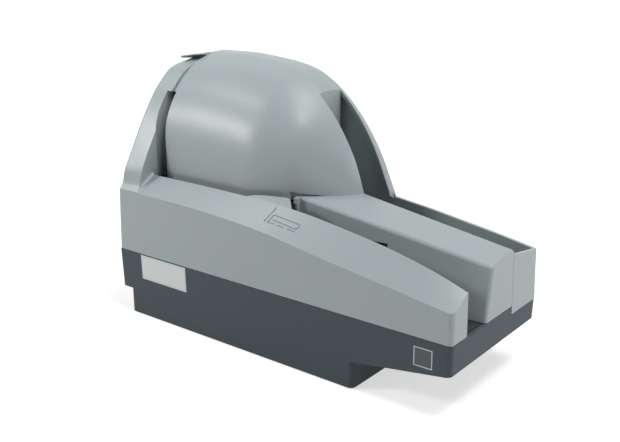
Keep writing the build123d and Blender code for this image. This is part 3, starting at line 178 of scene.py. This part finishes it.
def label(name, node, face, line, inset_mm, line_mm):
    """Printed polyester: a plain face with a keyline set in from its edge, under a satin film."""
    made, tree, out = new_material(name)
    (x0, _, z0), (x1, _, z1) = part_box(node)
    where = add(tree, "ShaderNodeSeparateXYZ", [("Vector", position(tree))])
    edges = []
    for axis, middle, half in (("X", (x0 + x1) / 2, (x1 - x0) / 2), ("Z", (z0 + z1) / 2, (z1 - z0) / 2)):
        off = add(tree, "ShaderNodeMath", [(0, where.outputs[axis])], operation="SUBTRACT")
        off.inputs[1].default_value = middle
        away = add(tree, "ShaderNodeMath", [(0, off.outputs[0])], operation="ABSOLUTE")
        edge = add(tree, "ShaderNodeMath", [(1, away.outputs[0])], operation="SUBTRACT")
        edge.inputs[0].default_value = half
        edges.append(edge.outputs[0])
    near = add(tree, "ShaderNodeMath", [(0, edges[0]), (1, edges[1])], operation="MINIMUM")
    on_line = add(tree, "ShaderNodeMath", [(0, near.outputs[0])], operation="COMPARE")
    on_line.inputs[1].default_value = inset_mm * MM
    on_line.inputs[2].default_value = line_mm / 2 * MM
    print_colour = mixed(tree, on_line.outputs[0], linear(face), linear(line))
    shader = add(tree, "ShaderNodeBsdfPrincipled", [("Base Color", print_colour)], Roughness=0.32)
    tree.links.new(shader.outputs[0], out.inputs["Surface"])
    return made


# ---------------------------------------------------------------- settings
class ScannerFinish(bpy.types.PropertyGroup):
    """Colours and gloss that a user would change."""
    cover_code: bpy.props.StringProperty(
        name="Cover colour", description="sRGB hex of the covers", default="#A6B1B3")
    base_code: bpy.props.StringProperty(
        name="Base colour", description="sRGB hex of the base", default="#4B5459")
    cover_gloss: bpy.props.FloatProperty(
        name="Cover roughness", description="0 is a mirror, 1 is chalk", default=0.36, min=0.0, max=1.0,
        subtype="FACTOR")


class ScannerStage(bpy.types.PropertyGroup):
    """Camera, lamps and floor."""
    focal: bpy.props.FloatProperty(
        name="Lens", description="Focal length on a 36 mm sensor, millimetres", default=50.54)
    azimuth: bpy.props.FloatProperty(
        name="Azimuth", description="Viewing direction from straight ahead", default=math.radians(38.03),
        subtype="ANGLE", unit="ROTATION")
    elevation: bpy.props.FloatProperty(
        name="Elevation", description="How far the camera looks down", default=math.radians(17.17),
        subtype="ANGLE", unit="ROTATION")
    place: bpy.props.FloatVectorProperty(
        name="Camera", description="Camera position", default=(0.3376, -0.4362, 0.2502), subtype="XYZ",
        unit="LENGTH")
    shift: bpy.props.FloatProperty(
        name="Shift", description="Vertical lens shift, in image widths", default=0.0)
    lamps: bpy.props.FloatProperty(
        name="Lamps", description="Factor on all the lamps", default=1.0, min=0.0)
    sky: bpy.props.FloatProperty(
        name="Sky", description="Strength of the even light all round", default=0.10, min=0.0)


# ---------------------------------------------------------------- operators
FINISHES = {
    "cover": ["outer_cover", "centre_cover"],
    "base": ["base_casing"],
    "black": ["feeder_plate", "image_sensors", "document_sensors", "usb_socket", "power_jack",
              "cartridge_holder", "front_pinch_arm", "corner_pinch_arm", "hopper_flag", "exit_flag"],
    "deck": ["deck_plate"],
    "cartridge": ["ink_cartridge"],
    "motor": ["main_motor", "feed_motor"],
    "chips": ["board_components"],
    "rubber": ["front_drive_tyres", "corner_drive_tyres", "rear_drive_tyres", "exit_drive_tyres",
               "platen_tyre", "feed_tyres", "pick_tyres", "separator_roller", "micr_pressure_roller"],
    "feet": ["rubber_feet"],
    "belts": ["transport_belt", "primary_belt", "feed_belt"],
    "acetal": ["front_pinch_roller", "corner_pinch_roller", "idler_roller"],
    "guides": ["outer_track_guide", "inner_track_guide"],
    "springs": ["pressure_leaves"],
    "sheet": ["frame_plate", "scan_bridge", "feed_bracket", "bottom_plate"],
    "turned": ["frame_posts", "roller_pins", "front_drive_shaft", "corner_drive_shaft", "rear_drive_shaft",
               "exit_drive_shaft", "platen_shaft", "feed_shaft", "pick_shaft", "motor_pulley",
               "feed_motor_pulley"],
    "screws": ["machine_screws"],
    "bronze": ["deck_bushes"],
    "magnet": ["magnetizer", "micr_head"],
    "board": ["main_board"],
    "glass": ["sensor_glasses"],
    "plain_label": ["front_label"],
    "framed_label": ["mark_label"],
}


class SCANNER_OT_finish(bpy.types.Operator):
    """Give every node of the frame its material"""
    bl_idname = "scanner.finish"
    bl_label = "Finish the nodes"

    def execute(self, context):
        look = context.scene.scanner_finish
        made = {
            # light grey ABS, moulded with a fine matt grain: wide soft highlights that break up a little
            "cover": moulded("abs_moulded_light_grey", look.cover_code,
                             roughness=look.cover_gloss, grain_mm=0.5, grain=0.22, drift=0.02),
            # dark grey ABS, moulded with a coarser grain: duller, almost without a highlight
            "base": moulded("abs_moulded_dark_grey", look.base_code,
                            roughness=0.55, grain_mm=0.6, grain=0.4, drift=0.03, specular=0.2),
            # glass-filled polycarbonate: deep black with a faint sheen
            "black": moulded("polycarbonate_moulded_black", "#1C2022",
                             roughness=0.42, grain_mm=0.6, grain=0.2, drift=0.1),
            # black phosphate on pressed steel: a dull, slightly blotchy floor to the track
            "deck": moulded("steel_phosphated_black", "#24292B",
                            roughness=0.6, grain_mm=1.5, grain=0.15, drift=0.15),
            # polypropylene: waxy black
            "cartridge": moulded("polypropylene_moulded_black", "#151718",
                                 roughness=0.5, grain_mm=0.9, grain=0.1, drift=0.08),
            # baked enamel on a drawn can: smooth, dark and shiny
            "motor": moulded("steel_enamelled_black", "#202326",
                             roughness=0.3, grain_mm=1.5, grain=0.1, drift=0.05),
            # epoxy packages: flat dark grey with a fine sand
            "chips": moulded("epoxy_moulded_black", "#26282A",
                             roughness=0.6, grain_mm=0.3, grain=0.3, drift=0.08),
            # ground polyurethane: matt, with the grinding wheel's fine marks
            "rubber": moulded("polyurethane_ground_black", "#202122",
                              roughness=0.7, grain_mm=0.35, grain=0.5, drift=0.06),
            # silicone feet: matt and soft
            "feet": moulded("silicone_moulded_black", "#1B1C1D",
                            roughness=0.8, grain_mm=0.5, grain=0.3, drift=0.05),
            # neoprene belts: matt black with the weave of their cord showing through
            "belts": moulded("neoprene_woven_black", "#191A1A",
                             roughness=0.75, grain_mm=0.7, grain=0.6, drift=0.06),
            # turned acetal: milky white with a low gloss
            "acetal": moulded("acetal_turned_white", "#D8D8D2",
                              roughness=0.35, grain_mm=0.8, grain=0.1, drift=0.02),
            # rolled stainless sheet: bright, drawn out along the document's way
            "guides": metal("stainless_rolled_bright", "#B4B8B9",
                            roughness=0.3, line_mm=0.6, stretch=(0.08, 0.08, 1)),
            # spring steel strip: a little darker and glossier
            "springs": metal("spring_steel_rolled", "#9DA1A3",
                             roughness=0.22, line_mm=0.5, stretch=(1, 1, 0.1)),
            # zinc-plated sheet: pale, with a soft cloudy gloss
            "sheet": metal("steel_zinc_plated", "#B9BDBF",
                           roughness=0.38, line_mm=4.0),
            # turned steel: fine rings round the shaft
            "turned": metal("steel_turned_bright", "#BFC2C3",
                            roughness=0.24, line_mm=0.4, stretch=(0.1, 0.1, 1)),
            # blackened screws
            "screws": metal("steel_oxided_black", "#4A4B4C",
                            roughness=0.42, line_mm=1.0),
            # sintered bronze bushes: warm and dull
            "bronze": metal("bronze_sintered", "#9A7B4F",
                            roughness=0.5, line_mm=0.5, depth=0.4),
            # nickel-plated pole pieces: smooth and slightly yellow
            "magnet": metal("nickel_plated_bright", "#B7B2A6",
                            roughness=0.2, line_mm=2.0),
            # solder mask over woven glass cloth
            "board": laminate("fibreglass_laminated_green"),
            # polished glass
            "glass": clear_glass("glass_float_polished"),
            # satin polyester labels, one pale and one dark with a pale keyline; both are left blank
            "plain_label": label("polyester_printed_pale", "front_label",
                                 face="#E3E6E6", line="#C6CCCD", inset_mm=0.9, line_mm=0.35),
            "framed_label": label("polyester_printed_dark", "mark_label",
                                  face="#3E464A", line="#C9D0D1", inset_mm=0.7, line_mm=0.6),
        }
        for finish, nodes in FINISHES.items():
            for node in nodes:
                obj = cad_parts[node]
                obj.data.materials.clear()
                obj.data.materials.append(made[finish])
        return {"FINISHED"}


def plane(name, corners, material):
    """Flat stage surface from its corners."""
    mesh = bpy.data.meshes.new(name)
    made = bmesh.new()
    made.faces.new([made.verts.new(c) for c in corners])
    made.to_mesh(mesh)
    made.free()
    mesh.materials.append(material)
    obj = bpy.data.objects.new(name, mesh)
    bpy.context.scene.collection.objects.link(obj)
    return obj


def seen_directly(tree):
    """1 for what the camera sees straight, in a gloss or through clear plastic, and 0 for lighting."""
    path = add(tree, "ShaderNodeLightPath")
    straight = path.outputs["Is Camera Ray"]
    gloss = path.outputs["Is Glossy Ray"]
    clear = path.outputs["Is Transmission Ray"]
    mirrored = add(tree, "ShaderNodeMath", [(0, straight), (1, gloss)], operation="ADD")
    through = add(tree, "ShaderNodeMath", [(0, mirrored.outputs[0]), (1, clear)], operation="ADD")
    through.use_clamp = True
    return through.outputs[0]


def floor_material():
    """White paper sweep: it takes the object's shadow close by and is evenly white further out."""
    made, tree, out = new_material("paper_sweep_white")
    seen = seen_directly(tree)
    away = add(tree, "ShaderNodeVectorMath", [(0, position(tree))], operation="LENGTH")
    fade = add(tree, "ShaderNodeMapRange", [("Value", away.outputs["Value"])],
               interpolation_type="SMOOTHSTEP")
    fade.inputs["From Min"].default_value = SHADOW_NEAR
    fade.inputs["From Max"].default_value = SHADOW_FAR
    fade.inputs["To Min"].default_value = NEAR_GLOW
    fade.inputs["To Max"].default_value = 1.0
    strength = add(tree, "ShaderNodeMath", [(0, fade.outputs[0]), (1, seen)], operation="MULTIPLY")
    diffuse = add(tree, "ShaderNodeBsdfDiffuse")
    diffuse.inputs["Color"].default_value = linear("#E8E8E8")
    glow = add(tree, "ShaderNodeEmission", [("Strength", strength.outputs[0])])
    glow.inputs["Color"].default_value = WHITE
    both = add(tree, "ShaderNodeAddShader", [(0, diffuse.outputs[0]), (1, glow.outputs[0])])
    tree.links.new(both.outputs[0], out.inputs["Surface"])
    return made


def lamp(name, place, target, size, watts):
    """Soft area lamp aimed at a point."""
    light = bpy.data.lights.new(name, "AREA")
    light.shape = "RECTANGLE"
    light.size, light.size_y = size
    light.energy = watts
    obj = bpy.data.objects.new(name, light)
    obj.location = place
    obj.rotation_euler = (Vector(target) - Vector(place)).to_track_quat("-Z", "Y").to_euler()
    bpy.context.scene.collection.objects.link(obj)


class SCANNER_OT_stage(bpy.types.Operator):
    """Build the floor, lamps, world and camera"""
    bl_idname = "scanner.stage"
    bl_label = "Set the stage"

    def execute(self, context):
        look = context.scene.scanner_stage
        far = FLOOR_HALF
        corners = [(-far, -far, 0), (far, -far, 0), (far, far, 0), (-far, far, 0)]
        floor = plane("floor", corners, floor_material())
        world = bpy.data.worlds.new("studio")
        world.use_nodes = True
        tree = world.node_tree
        tree.nodes.clear()
        level = ranged(tree, seen_directly(tree), look.sky, 1.0)
        back = add(tree, "ShaderNodeBackground", [("Strength", level)])
        back.inputs["Color"].default_value = WHITE
        out = tree.nodes.new("ShaderNodeOutputWorld")
        tree.links.new(back.outputs[0], out.inputs["Surface"])
        context.scene.world = world
        for name, place, target, size, watts in LAMPS:
            lamp(name, place, target, size, watts * look.lamps)
        eye = bpy.data.cameras.new("camera")
        eye.lens = look.focal
        eye.sensor_width = SENSOR_MM
        eye.shift_y = look.shift
        obj = bpy.data.objects.new("camera", eye)
        obj.location = look.place
        a, e = look.azimuth, look.elevation
        way = Vector((-math.sin(a) * math.cos(e), math.cos(a) * math.cos(e), -math.sin(e)))
        obj.rotation_euler = way.to_track_quat("-Z", "Y").to_euler()
        context.scene.collection.objects.link(obj)
        context.scene.camera = obj
        context.scene.view_settings.view_transform = "Standard"
        return {"FINISHED"}


class SCANNER_PT_panel(bpy.types.Panel):
    """Sidebar panel that lists the steps"""
    bl_idname = "SCANNER_PT_panel"
    bl_label = "Cheque scanner"
    bl_space_type = "VIEW_3D"
    bl_region_type = "UI"
    bl_category = "Scanner"

    def draw(self, context):
        for step in STEPS:
            self.layout.operator(step)


STEPS = ["scanner.finish", "scanner.stage"]
CLASSES = [ScannerFinish, ScannerStage, SCANNER_OT_finish, SCANNER_OT_stage, SCANNER_PT_panel]


def register():
    """Register the classes and their settings."""
    for cls in CLASSES:
        bpy.utils.register_class(cls)
    bpy.types.Scene.scanner_finish = bpy.props.PointerProperty(type=ScannerFinish)
    bpy.types.Scene.scanner_stage = bpy.props.PointerProperty(type=ScannerStage)


def unregister():
    """Remove the settings and the classes."""
    del bpy.types.Scene.scanner_stage
    del bpy.types.Scene.scanner_finish
    for cls in reversed(CLASSES):
        bpy.utils.unregister_class(cls)


def main():
    """Run every step."""
    register()
    for step in STEPS:
        group, name = step.split(".")
        getattr(getattr(bpy.ops, group), name)()


if __name__ == "__main__":
    main()
